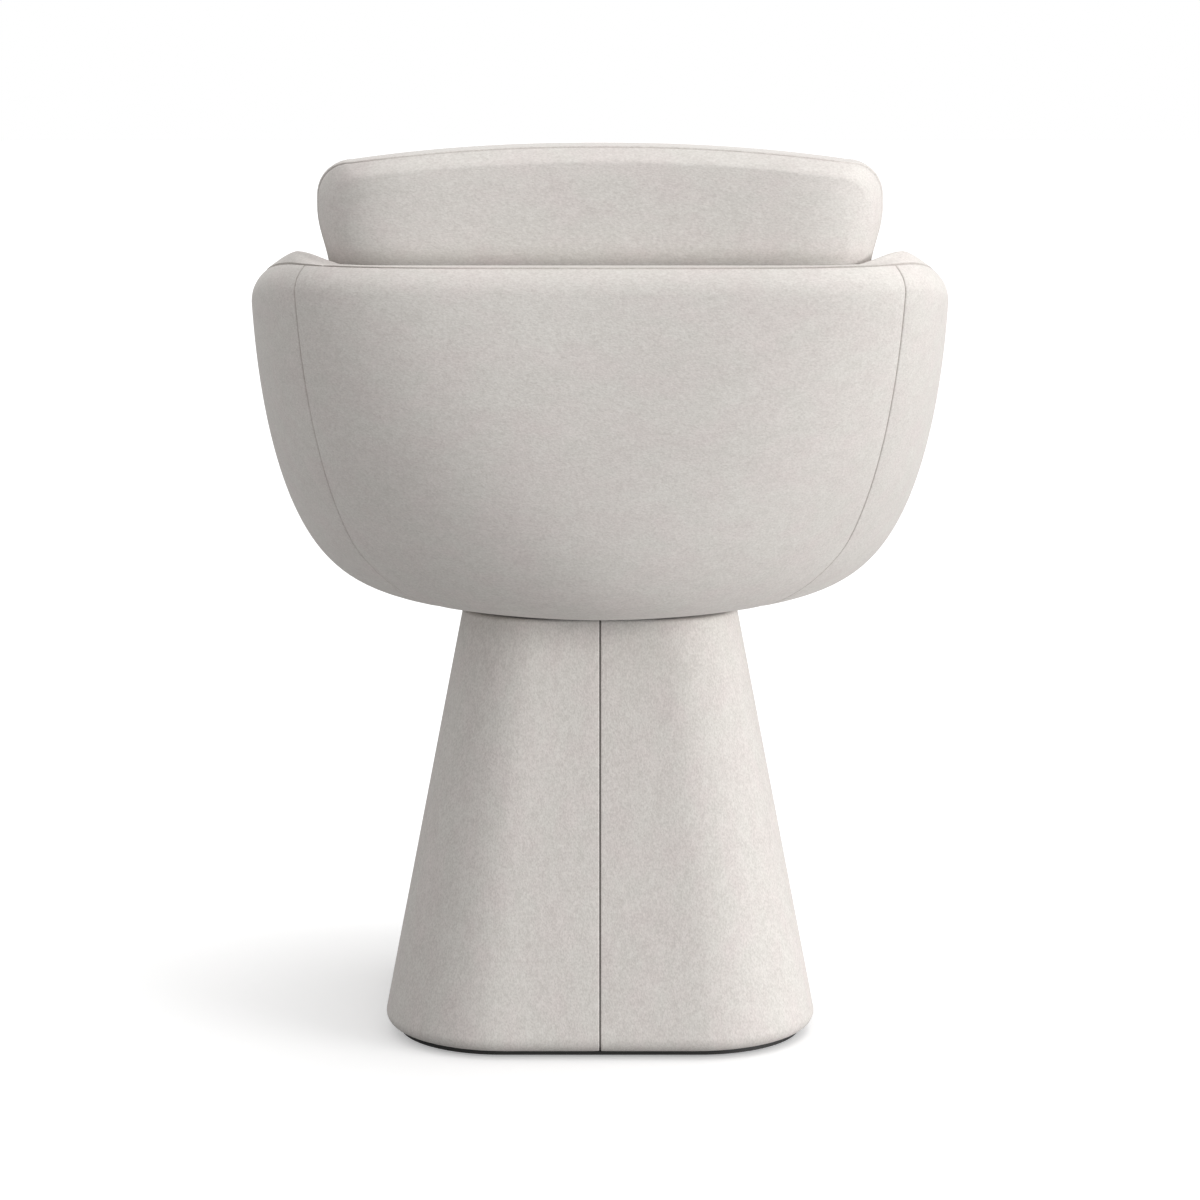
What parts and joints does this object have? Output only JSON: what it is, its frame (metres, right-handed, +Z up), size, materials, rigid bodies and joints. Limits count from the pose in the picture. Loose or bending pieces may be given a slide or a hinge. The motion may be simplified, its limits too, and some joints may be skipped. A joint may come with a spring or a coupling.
{
  "type": "swivel dining chair",
  "caption": "Upholstered tub dining chair with arms and a loose back cushion, turning on a ball-bearing swivel over a tapered square pedestal.",
  "frame": {"origin": "on the floor, at the centre of the chair's overall width and depth, on the swivel axis", "axes": "+Z up along the swivel axis, +Y to the back of the chair, the sitter faces -Y, +X to the right of someone who looks along +Y"},
  "size_m": [0.6094, 0.5696, 0.7996],
  "materials": {
    "upholstery": "short-pile woven, off-white",
    "foam": "dark grey open-cell foam",
    "dust_cloth": "non-woven",
    "plywood": "raw birch ply",
    "steel": "zinc plated",
    "ballast_iron": "rough cast",
    "black_plinth": "black paint",
    "black_nylon": "matt",
    "cage_nylon": "matt"
  },
  "bodies": {
    "pedestal": {"pedestal_cover": "upholstery", "pedestal_foam": "foam", "base_board": "plywood", "rib_lengthwise": "plywood", "rib_crosswise": "plywood", "top_board": "plywood", "pedestal_skin": "plywood", "glide_screws": "steel", "plinth_screws": "steel", "ballast_screws": "steel", "board_screws": "steel", "swivel_lower_plate": "steel", "lower_race": "steel", "centre_pin": "steel", "pin_washer": "steel", "lower_plate_bolts": "steel", "lower_tee_nuts": "steel", "ballast_blocks": "ballast_iron", "plinth": "black_plinth", "floor_glides": "black_nylon"},
    "bearing": {"ball_cage": "cage_nylon", "bearing_balls": "steel"},
    "tub": {"upper_race": "steel", "swivel_upper_plate": "steel", "upper_weld_nuts": "steel", "mount_board": "plywood", "dust_cover": "dust_cloth", "tub_shell": "plywood", "seat_board": "plywood", "tub_bolts": "steel", "bolt_washers": "steel", "outer_back_cover": "upholstery", "outer_left_cover": "upholstery", "outer_right_cover": "upholstery", "outer_front_cover": "upholstery", "inner_back_panel": "upholstery", "inner_left_arm_pad": "upholstery", "inner_right_arm_pad": "upholstery", "front_lip_pad": "upholstery", "seat_cushion": "upholstery", "back_cushion": "upholstery"}
  },
  "joints": [
    {"name": "seat_swivel", "type": "hinge", "parent": "pedestal", "child": "tub", "pos_m": [0, 0, 0.3655], "axis": [0, 0, 1], "continuous": true},
    {"name": "cage_turn", "type": "hinge", "parent": "pedestal", "child": "bearing", "pos_m": [0, 0, 0.3655], "axis": [0, 0, 1], "continuous": true}
  ],
  "couplings": [
    {"joint": "cage_turn", "follows": "seat_swivel", "ratio": 0.5}
  ]
}
